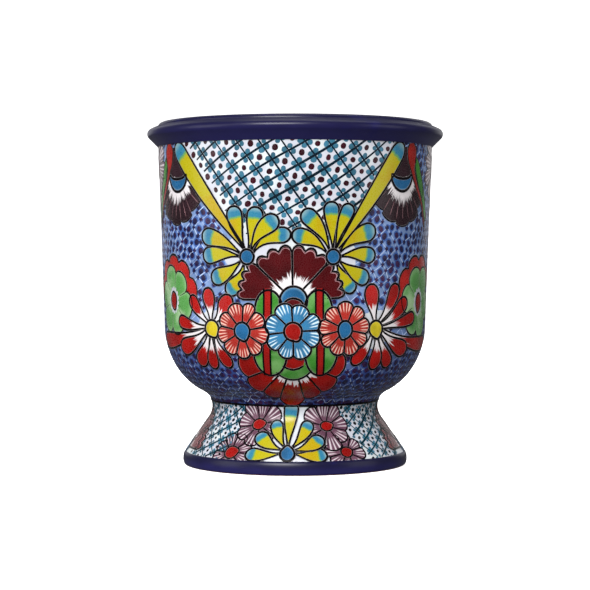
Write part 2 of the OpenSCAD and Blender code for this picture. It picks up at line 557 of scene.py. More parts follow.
def hand_thrown(mesh, wobble):
    """Moves every point in or out by the same slow, uneven wander, so that all layers agree."""
    co = np.empty(len(mesh.vertices) * 3)
    mesh.vertices.foreach_get("co", co)
    co = co.reshape(-1, 3)
    radius = np.hypot(co[:, 0], co[:, 1])
    angle = np.arctan2(co[:, 1], co[:, 0])
    wander = (np.sin(2 * angle + 0.7 + 4 * co[:, 2]) + 0.5 * np.sin(3 * angle - 1.9 + 11 * co[:, 2])
              + 0.25 * np.sin(5 * angle + 26 * co[:, 2]))
    rings = 0.12 * np.sin(co[:, 2] * 2 * math.pi / 0.013 + 0.8 * np.sin(2 * angle))
    wall = np.clip(radius / 0.07, 0, 1) * np.clip(co[:, 2] / 0.02, 0, 1)
    scale = 1 + wobble * 0.6 * (wander + rings) * wall / np.maximum(radius, 0.01)
    co[:, :2] *= scale[:, None]
    mesh.vertices.foreach_set("co", co.ravel())
    mesh.update()


def piece(mesh, name, slot, replaced=()):
    """Makes a finished mesh a piece of the planter."""
    hand_thrown(mesh, bpy.context.scene.planter_sizes.wobble)
    mesh.name = name
    mesh.shade_smooth()
    mesh.set_sharp_from_angle(angle=math.radians(50))
    obj = link(bpy.data.objects.new(name, mesh))
    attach(obj, BODY)
    if replaced:
        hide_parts(*replaced)
    return obj


class Plan:
    """What the painter lays on the wall, drawn flat: x across, y up the wall, both in mm."""
    # The share of its overshoot that a point over the top edge loses
    PRESS = 0.98

    def __init__(self, reach, seed, top=1000.0):
        self.reach = reach
        self.top = top
        self.fills = {}
        self.strokes = {}
        self.dots = []
        self.dabs = []
        self.net_dots = []
        self.draw = random.Random(seed)

    def below_top(self, points):
        """Presses what rises over the plan's top edge down to that edge."""
        points = np.array(points, float)
        points[..., 1] -= self.PRESS * np.maximum(points[..., 1] - self.top, 0)
        return points

    def fill(self, colour, grid, level, dome=1.0, split=0.7, ring=False):
        """A raised patch of enamel. The grid runs from the petal's base to its tip, or, as a ring,
        from a round patch's middle to its edge."""
        grid = self.below_top(grid)
        self.fills.setdefault(colour, []).append((grid, level, dome, split, ring, self.draw.random()))

    def stroke(self, brush, points, level, width=1.0, taper=(1.0, 1.0), closed=False):
        """A brush stroke. Its width and its ends' tapers are shares of the brush's own width."""
        points = self.below_top(points)
        self.strokes.setdefault(brush, []).append((points, level, width, taper, closed))

    def shape(self, colour, grid, level, outline=1.0, edge="round", halo=True, **fill):
        """A patch with a black line that runs in a pale margin, round the whole patch, round all but
        its base (side), or along its tip alone (tip)."""
        self.fill(colour, grid, level, **fill)
        line = {"round": edge_of, "side": side_of, "tip": lambda g: g[-1]}[edge](grid)
        if fill.get("ring"):
            line = grid[-1, :-1]
        ends = (1, 1) if edge == "round" else (0.8, 0.8)
        self.stroke("outline", line, level + 0.6, outline, ends, closed=edge == "round")
        if halo:
            self.stroke("halo", line, level + 0.1, outline, ends, closed=edge == "round")


def edge_of(grid):
    """The points round a grid."""
    return np.concatenate([grid[0], grid[1:, -1], grid[-1, -2::-1], grid[-2:0:-1, 0]])


def side_of(grid):
    """The points round a grid but for its base."""
    return np.concatenate([grid[:, 0], grid[-1, 1:], grid[-2::-1, -1]])


def polar(centre, angle, reach):
    """A point at an angle in degrees and a distance from a centre."""
    turn = math.radians(angle)
    return np.array(centre, float) + np.array((math.cos(turn), math.sin(turn))) * reach


def petal(base, tip, width, bend=0.0, neck=0.14, end=1.0, rows=9, across=7, swell=1.5):
    """A grid from a narrow base to a round tip. end is the round part's length in half widths."""
    base, tip = np.array(base, float), np.array(tip, float)
    length = np.linalg.norm(tip - base)
    cap = min(0.5 * width * end / length, 0.7)
    body = np.linspace(0, 1, rows)
    turn = np.radians(np.array([14, 28, 42, 55, 67, 78]))
    along = np.concatenate([body * (1 - cap), 1 - cap + cap * np.sin(turn)])
    half = np.concatenate([neck + (1 - neck) * np.sin(body * math.pi / 2) ** swell, np.cos(turn)])
    normal = np.array([base[1] - tip[1], tip[0] - base[0]]) / length
    middle = base + np.outer(along, tip - base) + np.outer(4 * along * (1 - along), normal) * bend
    lean = np.gradient(middle, along, axis=0)
    lean /= np.linalg.norm(lean, axis=1)[:, None]
    side = np.stack([-lean[:, 1], lean[:, 0]], axis=1)
    spread = np.linspace(1, -1, across)
    return middle[:, None] + side[:, None] * (half[:, None] * spread * width / 2)[..., None]


def sector(centre, first, last, inner, outer, lobes=1, depth=0.12, squash=(1, 1), rows=7, across=None):
    """A grid between two angles in degrees, whose outer edge is a row of rounded lobes."""
    across = across or 5 * lobes + 6
    if last - first < 359:
        first, last = first + 0.12, last - 0.12
    share = np.linspace(0, 1, across)
    angle = np.radians(last + (first - last) * share)
    edge = outer * (1 - depth + depth * np.abs(np.sin(math.pi * lobes * share)) ** 0.6)
    reach = inner + np.outer(np.linspace(0, 1, rows), edge - inner)
    return np.array(centre, float) + np.stack([reach * np.cos(angle), reach * np.sin(angle)], -1) * squash


def band(points, widths, across=4):
    """A grid along a line of points."""
    points = np.array(points, float)
    lean = np.gradient(points, axis=0)
    lean /= np.linalg.norm(lean, axis=1)[:, None]
    side = np.stack([-lean[:, 1], lean[:, 0]], axis=1)
    spread = np.linspace(1, -1, across)
    half = np.broadcast_to(np.asarray(widths, float) / 2, len(points))
    return points[:, None] + side[:, None] * (half[:, None] * spread)[..., None]


def between(left, right, rows, across):
    """A grid between two lines of points."""
    share = np.linspace(0, 1, rows)
    sides = []
    for line in (left, right):
        line = np.array(line, float)
        steps = np.concatenate([[0], np.cumsum(np.linalg.norm(np.diff(line, axis=0), axis=1))])
        sides.append(np.stack([np.interp(share * steps[-1], steps, line[:, i]) for i in (0, 1)], -1))
    spread = np.linspace(0, 1, across)[None, :, None]
    return sides[0][:, None] * (1 - spread) + sides[1][:, None] * spread


def curved(points, step=3.0):
    """A smooth line through a few points."""
    points = np.array(points, float)
    chord = np.concatenate([[0], np.cumsum(np.linalg.norm(np.diff(points, axis=0), axis=1))])
    tangent = np.gradient(points, chord, axis=0)
    line = []
    for i in range(len(points) - 1):
        gap = chord[i + 1] - chord[i]
        line += [hermite(points[i], points[i + 1], gap * tangent[i], gap * tangent[i + 1], t)
                 for t in np.arange(0, 1, min(1.0, step / gap))]
    return np.array(line + [points[-1]])


def flat_mesh(fills, relief, dome, turn):
    """The patches of one colour as one closed mesh over the flat plan, in metres."""
    verts, faces, uvs, tones = [], [], [], []
    for grid, level, swell, split, ring, tone in fills:
        rows, across = grid.shape[:2]
        start = len(verts)
        spine = grid[:, across // 2] if ring else grid.mean(axis=1)
        walk = np.concatenate([[0], np.cumsum(np.linalg.norm(np.diff(spine, axis=0), axis=1))])
        u = np.interp(walk / walk[-1], [0, split, 1], [0, 0.7, 1])
        v = np.linspace(0, 1, across)
        if ring:
            crown = np.outer(1 - np.linspace(0, 1, rows) ** 4, np.ones(across))
        else:
            crown = np.outer(1 - np.abs(np.linspace(-1, 1, rows)) ** 6, 1 - np.abs(2 * v - 1) ** 4)
        top = (1 + level) * relief + crown * dome * swell
        plane = grid * MM + (turn, 0)
        for heights in (top, np.full_like(top, UNDERSIDE)):
            verts += np.concatenate([plane, heights[..., None]], -1).reshape(-1, 3).tolist()
            uvs += np.stack(np.broadcast_arrays(u[:, None], v[None]), -1).reshape(-1, 2).tolist()
        tones += [tone] * (2 * rows * across)
        i, j = np.meshgrid(np.arange(rows - 1), np.arange(across - 1), indexing="ij")
        a = start + i * across + j
        upper = np.stack([a, a + 1, a + across + 1, a + across], -1).reshape(-1, 4)
        lower = upper[:, ::-1] + rows * across
        rim = np.arange(rows * across).reshape(rows, across)
        loop = np.concatenate([rim[0], rim[1:, -1], rim[-1, -2::-1], rim[-2:0:-1, 0]]) + start
        ahead = np.roll(loop, -1)
        sides = np.stack([loop, loop + rows * across, ahead + rows * across, ahead], -1)
        if ring:
            sides = sides[across + rows - 2:2 * across + rows - 3]
        faces += upper.tolist() + lower.tolist() + sides.tolist()
    mesh = bpy.data.meshes.new("plan")
    mesh.from_pydata(verts, [], faces)
    uv_map = mesh.uv_layers.new(name="UVMap")
    corners = np.empty(len(mesh.loops), np.int32)
    mesh.loops.foreach_get("vertex_index", corners)
    uv_map.data.foreach_set("uv", np.array(uvs)[corners].ravel())
    tone_layer = mesh.attributes.new("tone", "FLOAT", "POINT")
    tone_layer.data.foreach_set("value", np.array(tones))
    return mesh


def stroke_lines(strokes, relief, width, turn):
    """The strokes of one brush as a curve object over the flat plan, in metres."""
    lines = []
    for points, level, share, taper, closed in strokes:
        swell = np.interp(np.linspace(0, 1, len(points)), [0, 0.5, 1], [taper[0], 1, taper[1]])
        places = [(x * MM + turn, y * MM, (1 + level) * relief) for x, y in points]
        lines.append((places, swell * share * width / 2, closed))
    return line_object("strokes", lines)


def tidy(mesh, weld=False):
    """Drops what has no area, joins seams if asked, and turns every shell's faces outwards."""
    work = bmesh.new()
    work.from_mesh(mesh)
    if weld:
        bmesh.ops.remove_doubles(work, verts=work.verts, dist=WELD)
    bmesh.ops.dissolve_degenerate(work, edges=work.edges, dist=WELD)
    bmesh.ops.recalc_face_normals(work, faces=work.faces)
    work.to_mesh(mesh)
    work.free()
    return mesh


def join(meshes):
    """Several meshes as one."""
    objects = [link(bpy.data.objects.new("part", mesh)) for mesh in meshes]
    with bpy.context.temp_override(active_object=objects[0], object=objects[0], selected_objects=objects,
                                   selected_editable_objects=objects):
        bpy.ops.object.join()
    mesh = objects[0].data
    bpy.data.objects.remove(objects[0])
    return mesh


# ==== Geometry node trees ====


class Growth(Tree):
    """A Geometry Nodes tree with named inputs, which ends in plain geometry with a material."""

    def __init__(self, name, **inputs):
        super().__init__(bpy.data.node_groups.new(name, "GeometryNodeTree"))
        self.name = name
        kinds = {"Material": "NodeSocketMaterial", "Seed": "NodeSocketInt", "Segments": "NodeSocketInt"}
        kinds.update(dict.fromkeys(("Profile", "Plan", "Wall", "Dab", "Covers"), "NodeSocketObject"))
        sockets = {}
        for key in inputs:
            kind = kinds.get(key, "NodeSocketFloat")
            sockets[key] = self.tree.interface.new_socket(key.replace("_", " "), in_out="INPUT",
                                                          socket_type=kind)
        self.tree.interface.new_socket("Geometry", in_out="OUTPUT", socket_type="NodeSocketGeometry")
        self.settings = {sockets[key].identifier: value for key, value in inputs.items()}
        self.own = [inputs[key] for key in ("Profile", "Plan", "Wall", "Dab") if key in inputs]
        group = self.node("NodeGroupInput")
        self.inputs = {key: group.out(sockets[key].identifier) for key in inputs}

    def shape_of(self, key):
        """The geometry of an object that an input names."""
        return self.node("GeometryNodeObjectInfo", {"transform_space": "ORIGINAL"},
                         {"Object": self.inputs[key]}, "Geometry")

    def on_wall(self, across, along, lift):
        """Where a point of the flat plan lies on the wall, and the wall's normal there."""
        spot = self.node("GeometryNodeSampleCurve", {"mode": "LENGTH", "use_all_curves": True}, {
            "Curves": self.shape_of("Wall"), "Length": along + self.inputs["Seam"]}, "Position")
        foot, lean = self.separate(spot), self.separate(spot.out("Tangent"))
        angle = across / self.inputs["Reach"]
        sine, cosine = angle.maths("SINE"), angle.maths("COSINE")
        out, up = lean.out("Z"), -lean.out("X")
        radius = foot.out("X") + lift * out
        place = self.combine(radius * sine, -(radius * cosine), foot.out("Z") + lift * up)
        return place, self.combine(out * sine, -(out * cosine), up)

    def wrap(self, geometry):
        """Carries flat geometry to the wall."""
        flat = self.separate(self.node("GeometryNodeInputPosition"))
        place, _ = self.on_wall(flat.out("X"), flat.out("Y"), flat.out("Z"))
        return self.node("GeometryNodeSetPosition", {}, {"Geometry": geometry, "Position": place})

    def grow(self, geometry):
        """Ends the tree, evaluates it and returns its result as a plain mesh."""
        real = self.node("GeometryNodeRealizeInstances", {}, {"Geometry": geometry})
        painted = self.node("GeometryNodeSetMaterial", {}, {
            "Geometry": real, "Material": self.inputs["Material"]})
        self.node("NodeGroupOutput", {}, {"Geometry": painted})
        carrier = link(bpy.data.objects.new(self.name, bpy.data.meshes.new(self.name)))
        modifier = carrier.modifiers.new(self.name, "NODES")
        modifier.node_group = self.tree
        for identifier, value in self.settings.items():
            modifier[identifier] = value
        depsgraph = bpy.context.evaluated_depsgraph_get()
        mesh = bpy.data.meshes.new_from_object(carrier.evaluated_get(depsgraph), depsgraph=depsgraph)
        carrier.modifiers.remove(modifier)
        for obj in (carrier, *self.own):
            bpy.data.objects.remove(obj)
        return mesh


def turned(outline, segments, materials, zone):
    """A closed body of revolution, swept round the axis. zone gives the materials' numbers from the
    radii and heights of the faces' middles."""
    path_radius = float(outline[:, 0].mean())
    profile = line_object("profile", [([(r - path_radius, -z, 0) for r, z in outline], None, True)])
    tree = Growth("Turn body", Profile=profile, Path_radius=path_radius, Segments=segments,
                  Material=materials[0])
    path = tree.node("GeometryNodeCurvePrimitiveCircle", {"mode": "RADIUS"}, {
        "Resolution": tree.inputs["Segments"], "Radius": tree.inputs["Path_radius"]})
    level = tree.node("GeometryNodeSetCurveNormal", {"mode": "Z_UP"}, {"Curve": path})
    mesh = tidy(tree.grow(tree.node("GeometryNodeCurveToMesh", {}, {
        "Curve": level, "Profile Curve": tree.shape_of("Profile")})))
    middles = np.array([face.center for face in mesh.polygons])
    for material in materials[1:]:
        mesh.materials.append(material)
    numbers = zone(np.hypot(middles[:, 0], middles[:, 1]), middles[:, 2])
    mesh.polygons.foreach_set("material_index", numbers.astype(np.int32))
    return mesh


def outer_side(node, radius, height, low):
    """Whether faces of a turned body lie on its outer side, above a height."""
    return (height > low) & (radius > outer_radius([SECTIONS[node]], height) - 2 * MM)


def turned_piece(node, name, slot, materials, zone):
    """Turns the body of a CAD node and puts it in the node's place."""
    segments = bpy.context.scene.planter_sizes.segments
    piece(turned(SECTIONS[node], segments, materials, zone), name, slot, (node,))


def wrapped_fills(fills, material, reach, turn):
    """Raised patches of one colour, wrapped round the wall."""
    sizes = bpy.context.scene.planter_sizes
    plan = link(bpy.data.objects.new("plan", flat_mesh(fills, sizes.relief, sizes.dome, turn)))
    tree = Growth("Wrap enamel", Plan=plan, Wall=WALL.curve(), Reach=reach, Seam=WALL.seam,
                  Material=material)
    return tidy(tree.grow(tree.wrap(tree.shape_of("Plan"))), weld=True)


def wrapped_strokes(strokes, width, thickness, material, reach, turn, sides=6):
    """Brush strokes with a low oval section, wrapped round the wall."""
    sizes = bpy.context.scene.planter_sizes
    plan = stroke_lines(strokes, sizes.relief, width, turn)
    tree = Growth("Lay strokes", Plan=plan, Wall=WALL.curve(), Reach=reach, Seam=WALL.seam,
                  Thickness=thickness, Material=material)
    level = tree.node("GeometryNodeSetCurveNormal", {"mode": "Z_UP"}, {"Curve": tree.shape_of("Plan")})
    ring = tree.node("GeometryNodeCurvePrimitiveCircle", {"mode": "RADIUS"}, {
        "Resolution": sides, "Radius": 1.0})
    oval = tree.node("GeometryNodeTransform", {}, {
        "Geometry": ring, "Scale": tree.combine(1.0, tree.inputs["Thickness"], 1.0),
        "Translation": tree.combine(0.0, tree.inputs["Thickness"] * -0.4, 0.0)})
    swept = tree.node("GeometryNodeCurveToMesh", {}, {
        "Curve": level, "Profile Curve": oval, "Fill Caps": True,
        "Scale": tree.node("GeometryNodeInputRadius")})
    return tidy(tree.grow(tree.wrap(swept)))


def lay_strokes(name, strokes, width, thickness, ink, reach, sides=6):
    """One brush's strokes as two pieces, the front's and the back's."""
    for word, half in HALVES.items():
        mesh = wrapped_strokes(strokes, width, thickness, ink, reach, math.pi * reach * half, sides)
        piece(mesh, f"{name}_{word}", "painted_glaze")


def dab_mesh(seed, sides=9):
    """A low dome with an uneven edge, one unit in radius and in height."""
    draw = random.Random(seed)
    angles = [2 * math.pi * i / sides for i in range(sides)]
    uneven = [1 + draw.uniform(-0.09, 0.09) for _ in angles]
    verts = [(0, 0, 1)]
    for reach, height in ((0.62, 0.86), (1.0, 0.0), (1.0, -1.6)):
        verts += [(reach * k * math.cos(a), reach * k * math.sin(a), height) for a, k in zip(angles, uneven)]
    faces = []
    for i in range(sides):
        j = (i + 1) % sides
        faces.append((0, 1 + i, 1 + j))
        for ring in (0, 1):
            low, high = 1 + ring * sides, 1 + (ring + 1) * sides
            faces.append((low + i, high + i, high + j, low + j))
    faces.append([1 + 2 * sides + i for i in reversed(range(sides))])
    mesh = bpy.data.meshes.new("dab")
    mesh.from_pydata(verts, [], faces)
    return bpy.data.objects.new("dab", mesh)


def placed_dabs(points, material, reach, lift, size, thickness, seed, covers=None):
    """A dab at each point of the flat plan, front and back, but for those under the covers' fills.
    points holds x and y in mm, and a share of the size."""
    points = [(x + math.pi * reach * half / MM, y, share)
              for half in HALVES.values() for x, y, share in points]
    mesh = bpy.data.meshes.new("points")
    mesh.from_pydata([(x * MM, y * MM, 0) for x, y, _ in points], [], [])
    shares = mesh.attributes.new("share", "FLOAT", "POINT")
    shares.data.foreach_set("value", [share for _, _, share in points])
    plan = link(bpy.data.objects.new("points", mesh))
    tree = Growth("Place dabs", Plan=plan, Wall=WALL.curve(), Dab=link(dab_mesh(seed)),
                  Covers=covers or plan, Reach=reach, Seam=WALL.seam, Lift=lift, Radius=size / 2,
                  Thickness=thickness, Seed=seed, Material=material)
    dots = tree.node("GeometryNodeMeshToPoints", {}, {"Mesh": tree.shape_of("Plan")})
    flat = tree.separate(tree.node("GeometryNodeInputPosition"))
    place, normal = tree.on_wall(flat.out("X"), flat.out("Y"), tree.inputs["Lift"])
    vector, number = {"data_type": "FLOAT_VECTOR"}, {"data_type": "FLOAT"}
    kept = tree.node("GeometryNodeStoreNamedAttribute", {**vector, "domain": "POINT"}, {
        "Geometry": dots, "Name": "out", "Value": normal})
    moved = tree.node("GeometryNodeSetPosition", {}, {"Geometry": kept, "Position": place})
    if covers:
        near = tree.node("GeometryNodeProximity", {"target_element": "FACES"}, {
            "Target": tree.shape_of("Covers")}, "Distance")
        moved = tree.node("GeometryNodeDeleteGeometry", {"domain": "POINT"}, {
            "Geometry": moved, "Selection": near.maths("LESS_THAN", 1.6 * MM)})
    out = tree.node("GeometryNodeInputNamedAttribute", vector, {"Name": "out"}, "Attribute")
    turn = tree.node("FunctionNodeAlignRotationToVector", {"axis": "Z"}, {"Vector": out})
    share = tree.node("GeometryNodeInputNamedAttribute", number, {"Name": "share"}, "Attribute")
    spread = tree.node("FunctionNodeRandomValue", number, {
        "Min_001": 0.88, "Max_001": 1.12, "Seed": tree.inputs["Seed"]}, "Value_001")
    radius = tree.inputs["Radius"] * share
    laid = tree.node("GeometryNodeInstanceOnPoints", {}, {
        "Points": moved, "Instance": tree.shape_of("Dab"), "Rotation": turn,
        "Scale": tree.combine(radius * spread, radius / spread, tree.inputs["Thickness"])})
    return tidy(tree.grow(laid))


# ==== The painter's motifs ====


def egg(plan, colour, centre, wide, tall, level, point=None, outline=1.0):
    """A round bead with a black edge. point turns one side of it into a soft corner."""
    angles = np.linspace(360, 0, 29)
    edge = np.ones(29)
    if point is not None:
        off = np.abs((angles - point + 180) % 360 - 180)
        edge += 0.22 * np.exp(-(off / 24) ** 2)
    ring = np.array([polar((0, 0), a, k) for a, k in zip(angles, edge)]) * (wide / 2, tall / 2)
    grid = np.array(centre, float) + np.linspace(0, 1, 6)[:, None, None] * ring[None]
    plan.shape(colour, grid, level, outline, dome=1.5, ring=True)


def spoke(plan, brush, centre, angle, reaches, level, width, taper):
    """A short stroke that points away from a centre."""
    plan.stroke(brush, [polar(centre, angle, reach) for reach in reaches], level, width, taper)


def petals_round(plan, colour, centre, petals, start, level, **shape):
    """Petals from near a centre to their tips, each (x, y, width, bend), the odd ones in front."""
    for number, (x, y, width, bend) in enumerate(petals):
        towards = np.array((x, y), float) - centre
        towards /= np.linalg.norm(towards)
        grid = petal(np.array(centre) + towards * start, (x, y), width, bend, **shape)
        plan.shape(colour, grid, level + 1.9 * (number % 2), edge="side")


def blob(plan, centre, reach, level, lobes=9, squash=(1, 1)):
    """A patch of bare white."""
    grid = sector(centre, 0, 360, 0, reach, lobes, 0.1, squash, across=6 * lobes + 1)
    plan.fill("white", grid, level, dome=0.0, ring=True)


def daisy(plan, colour, centre, reach, count, first, bead_colour, bead, point=None):
    """A round flower of touching petals."""
    step = 360 / count
    bounds = [first + i * step + plan.draw.uniform(-4, 4) for i in range(count)]
    for start, end in zip(bounds, bounds[1:] + [bounds[0] + 360]):
        grid = sector(centre, start, end, 0.28 * reach, reach * plan.draw.uniform(0.96, 1.05), depth=0.17)
        plan.shape(colour, grid, 8.0, edge="side", outline=0.9)
    egg(plan, bead_colour, centre, *bead, 8.8, point)


def shell(plan, colour, centre, bounds, inner, outer, lobes, level, squash=(1, 1)):
    """Part of a big flower: wide petals with a scalloped edge and a pale line inside it."""
    for (first, last), reach, count in zip(bounds, outer, lobes):
        grid = sector(centre, first, last, inner, reach, count, 0.13, squash, rows=9)
        plan.shape(colour, grid, level, edge="side")
        share = 1 - 2.6 / reach
        line = np.array(centre, float) + (grid[-1, 1:-1] - centre) * share
        plan.stroke("pink_line", line, level + 0.8, taper=(0.5, 0.5))


def striped_leaf(plan, centre, wide, tall, stripe, level):
    """A round leaf that a red stripe runs through."""
    leaf = sector(centre, 0, 360, 0, 1.0, 1, 0.0, (wide / 2, tall / 2), across=33)
    plan.shape("leaf", leaf, level, ring=True)
    grid = band(curved(stripe, 4.0), 7.4)
    plan.fill("stripe", grid, level + 0.9, dome=0.4)
    for side in (0, -1):
        plan.stroke("outline", grid[:, side], level + 1.5, 0.85)


def eyed_feather(plan, stem, eye, petals):
    """A dark feather with a blue eye in a white fringe, hung between two long petals."""
    plan.fill("umber", between(*stem, 6, 6), 0.7)
    for first, last, reach in petals:
        feather = sector(eye, first, last, 6, reach, 1, 0.05, rows=9)
        plan.shape("umber_feather", feather, 0.9, 0.7, "tip")
        for angle in (first, first + 0.5 * (last - first)):
            spoke(plan, "pink_line", eye, angle, (28, 34, 40, 44), 1.6, 0.7, (0.2, 0.2))
    turns = np.radians(np.linspace(180, 360, 15))
    arc = np.stack([np.cos(turns), np.sin(turns)], -1)
    grid = between(arc * (13.5, 4) + eye, arc * (16.5, 16.5) + eye, 15, 6).transpose(1, 0, 2)
    plan.shape("eye_blue", grid, 2.2, 1.2)


def lobed_flower(plan, centre, lobes, reach, turn, border, bead, point, squash=(1, 1)):
    """A green flower of round lobes with a red scalloped border and a red bead in a white ring."""
    grid = sector(centre, turn + border[0], turn + border[1], 1, reach + 9, border[2], 0.13, squash, rows=8)
    plan.shape("border", grid, 0.7, edge="tip")
    step = 360 / lobes
    for number in range(lobes):
        first = turn + number * step
        long = reach * plan.draw.uniform(0.92, 1.06)
        grid = sector(centre, first, first + step, 2, long, 1, 0.22, squash, rows=9)
        plan.shape("leaf_pale", grid, 2.0, 0.8, "tip")
        spoke(plan, "outline", centre, first, (15, 20, 26, 31), 2.4, 0.4, (0.6, 0.3))
    ring = sector(centre, 0, 360, 0, 1.0, 14, 0.2, (bead[0] * 0.88, bead[1] * 0.82), across=57)
    plan.fill("white", ring, 2.6, dome=0, ring=True)
    egg(plan, "bead_red", centre, *bead, 3.4, point, 0.85)


def combed_flower(plan, centre, reach, petals, bead, level=1, first=0, squash=(1, 1), outline=0.8):
    """A plum flower with white hairs combed in from its rim."""
    step = 360 / petals
    for i in range(petals):
        start = first + i * step
        long = reach * plan.draw.uniform(0.92, 1.06)
        grid = sector(centre, start, start + step, 3, long, 1, 0.16, squash, rows=9)
        plan.shape("combed", grid, level, outline, "side", halo=False)
    egg(plan, "bead_red", centre, *bead, level + 1.2, 20, 0.8)


# Petals as (x, y, width, bend): where each tip lies on the plan, in mm
LEFT_BURST = [(-95, 139, 15, -1), (-69, 133, 17, -3), (-118, 131, 13, 2), (-141, 107, 13, 2),
              (-187, 85, 17, 4), (-141, 78, 17, 3), (-116, 62, 16, 3), (-95, 58, 14, 1), (-70, 61, 14, -3)]
RIGHT_BURST = [(80, 143, 17, 1), (113, 143, 15, -3), (131, 128, 15, -3), (148, 110, 13, -1),
               (189, 82, 16, -6), (137, 76, 17, -3), (114, 60, 14, -2), (91, 57, 16, 1), (61, 65, 15, 3)]
LEFT_FAN = [(-71, 135, 16, 5), (-88, 148, 16.5, 3), (-98, 169, 16.5, -3), (-99, 190, 17, -4)]
LEFT_FAN_TOP = [(-4, 190, 15, 7), (-16, 206.5, 17, 5), (-38, 217.5, 16, -1), (-61.5, 218.5, 16, 2)]
RIGHT_FAN = [(60, 136, 15, -2), (76, 147, 16, -2), (83, 169, 15.5, 3), (83, 195, 17.5, 5)]
RIGHT_FAN_TOP = [(-3, 190, 15.5, -5), (7, 213, 16, -4), (35, 222.5, 15, 0), (55, 220, 13.5, 2)]


def paint_bowl():
    """The bowl's painted panel. x is across from its middle and y is up from the neck seam."""
    plan = Plan(BOWL_REACH, seed=3)

    # White ground of the lattice, between the two long petals and behind their tips
    left_edge = [(-50, 176), (-94, 236), (-139, 292)]
    right_edge = [(42, 176), (82, 236), (126, 292)]
    plan.fill("white", between(left_edge, right_edge, 30, 60), 0.3, dome=0.0)
    net = {"origin": (-3, 236), "rising": (15.6, 8.3), "falling": (9.3, -13.6), "steep": 0.0012,
           "dab": 4.5}
    lattice(plan, net, in_panel, "lattice", 17)

    # White patches that the flowers stand on
    for centre, reach in (((-47, 169), 25), ((38, 169), 24), ((-89, 99), 20), ((86, 99), 20)):
        blob(plan, centre, reach, 0.45)
    plan.fill("white", sector((-2, 128), 12, 166, 8, 57, 9, 0.04, rows=12, across=48), 0.5, dome=0)

    # Fans
    for x, low, top in ((-47.5, LEFT_FAN, LEFT_FAN_TOP), (37.5, RIGHT_FAN, RIGHT_FAN_TOP)):
        for petals in (low, top):
            petals_round(plan, "fan", (x, 169.5), petals, 6, 1.7, neck=0.05, swell=1.9)
        egg(plan, "bead_blue", (x, 169.5), 14, 14.5, 5.3)
    for base, tip in (((-50.5, 178), (-136.5, 281.5)), ((42, 178), (117.5, 281.5))):
        grid = petal(base, tip, 18, 0, neck=0.12, end=1.5, rows=26, swell=1.0)
        plan.shape("fan", grid, 3.7, edge="side", split=0.85)

    # Long red petals, green slivers and eyed feathers beside the long yellow petals
    for way in (-1, 1):
        x = 151 if way < 0 else 133
        spine = [(way * x, 282), (way * (x + 1), 270), (way * (x + 3), 256), (way * (x + 12), 240),
                 (way * (x + 26), 222), (way * (x + 36), 200)]
        line = curved(spine, 4.0)
        width = np.interp(line[:, 1], [200, 222, 245, 256, 264, 276, 282], [2.5, 4, 5.5, 7, 14.5, 17, 8])
        plan.shape("red_stem", band(line, width, 6), 2.2, 0.8, "side", dome=0.5)
        sliver = [(way * (x + 9), 268), (way * (x + 17), 250), (way * (x + 29), 230), (way * (x + 40), 206)]
        line = curved(sliver, 4.0)
        width = np.interp(line[:, 1], [206, 215, 245, 262, 268], [3, 7, 11, 9, 3])
        plan.shape("leaf", band(line, width, 5), 1.0, 0.7)
    eyed_feather(plan, ([(-150, 278), (-154, 248)], [(-134, 278), (-119, 248)]), (-136, 250.5),
                 [(192, 222, 46), (222, 250, 49), (250, 275, 50), (275, 300, 48), (300, 338, 44)])
    eyed_feather(plan, ([(118, 278), (101, 248)], [(134, 278), (137, 248)]), (118.5, 250.5),
                 [(200, 234, 46), (234, 260, 49), (260, 286, 51), (286, 312, 50), (312, 346, 46)])

    # Wine-red half flower with its blue eye
    shell(plan, "maroon", (-2, 128), [(2, 46), (46, 91), (91, 137), (137, 180)], 9,
          (52, 53, 53, 57), (4, 3, 3, 4), 3.4)
    egg(plan, "eye_blue", (-1.5, 127), 27, 28, 5.0)
    egg(plan, "maroon_bead", (-1.5, 121), 20, 17, 6.0)

    # Red half flower hanging below, with its green smile
    bounds = (172, 201, 226, 251, 287, 313, 339, 368)
    for first, last, reach in zip(bounds, bounds[1:], (59, 61, 60, 65, 60, 60, 58)):
        grid = sector((-3, 68), first, last, 20, reach, 1, 0.1, rows=9, across=15)
        plan.shape("red_shell", grid, 0.6, 0.9, "side")
    plan.fill("red_fringe", sector((-2, 68), 192, 348, 18, 36, 1, 0.0, rows=8, across=31), 2.0, dome=0.0)
    for angle in bounds[1:-1]:
        spoke(plan, "outline", (-2, 68), angle, (23, 28, 32, 38), 2.3, 0.7, (1, 0.8))
    plan.shape("leaf", sector((-2, 69), 192, 348, 10, 22.5, 1, 0, rows=5, across=19), 3.0, edge="tip")
    smile = between([(-14, 76), (10, 76)], [(-13, 63), (-8, 60), (-2, 58.6), (4, 60), (9, 63)], 9, 5)
    plan.shape("red_shell", smile.transpose(1, 0, 2), 3.8, edge="tip")

    # Leaves and the red stripes that tie the halves together
    striped_leaf(plan, (-26, 117), 28, 41, [(-27, 139), (-27, 124), (-27.5, 102)], 5.0)
    striped_leaf(plan, (23, 117), 28, 41, [(24, 139), (24, 124), (24.5, 102)], 5.0)
    striped_leaf(plan, (-25.5, 75), 34, 46, [(-28, 95), (-29, 73), (-30, 52.5)], 4.8)
    striped_leaf(plan, (27, 75), 33, 46, [(25, 95), (26, 73), (27.5, 52.5)], 4.8)

    # Daisies
    daisy(plan, "daisy_blue", (-2, 97.5), 27.5, 8, 48, "bead_red", (17.5, 17.5), -60)
    daisy(plan, "daisy_red", (-53.5, 97.5), 27, 9, 50, "bead_blue", (16.5, 17), -70)
    daisy(plan, "daisy_red", (50.5, 99), 26.5, 9, 70, "bead_blue", (15, 17), -110)

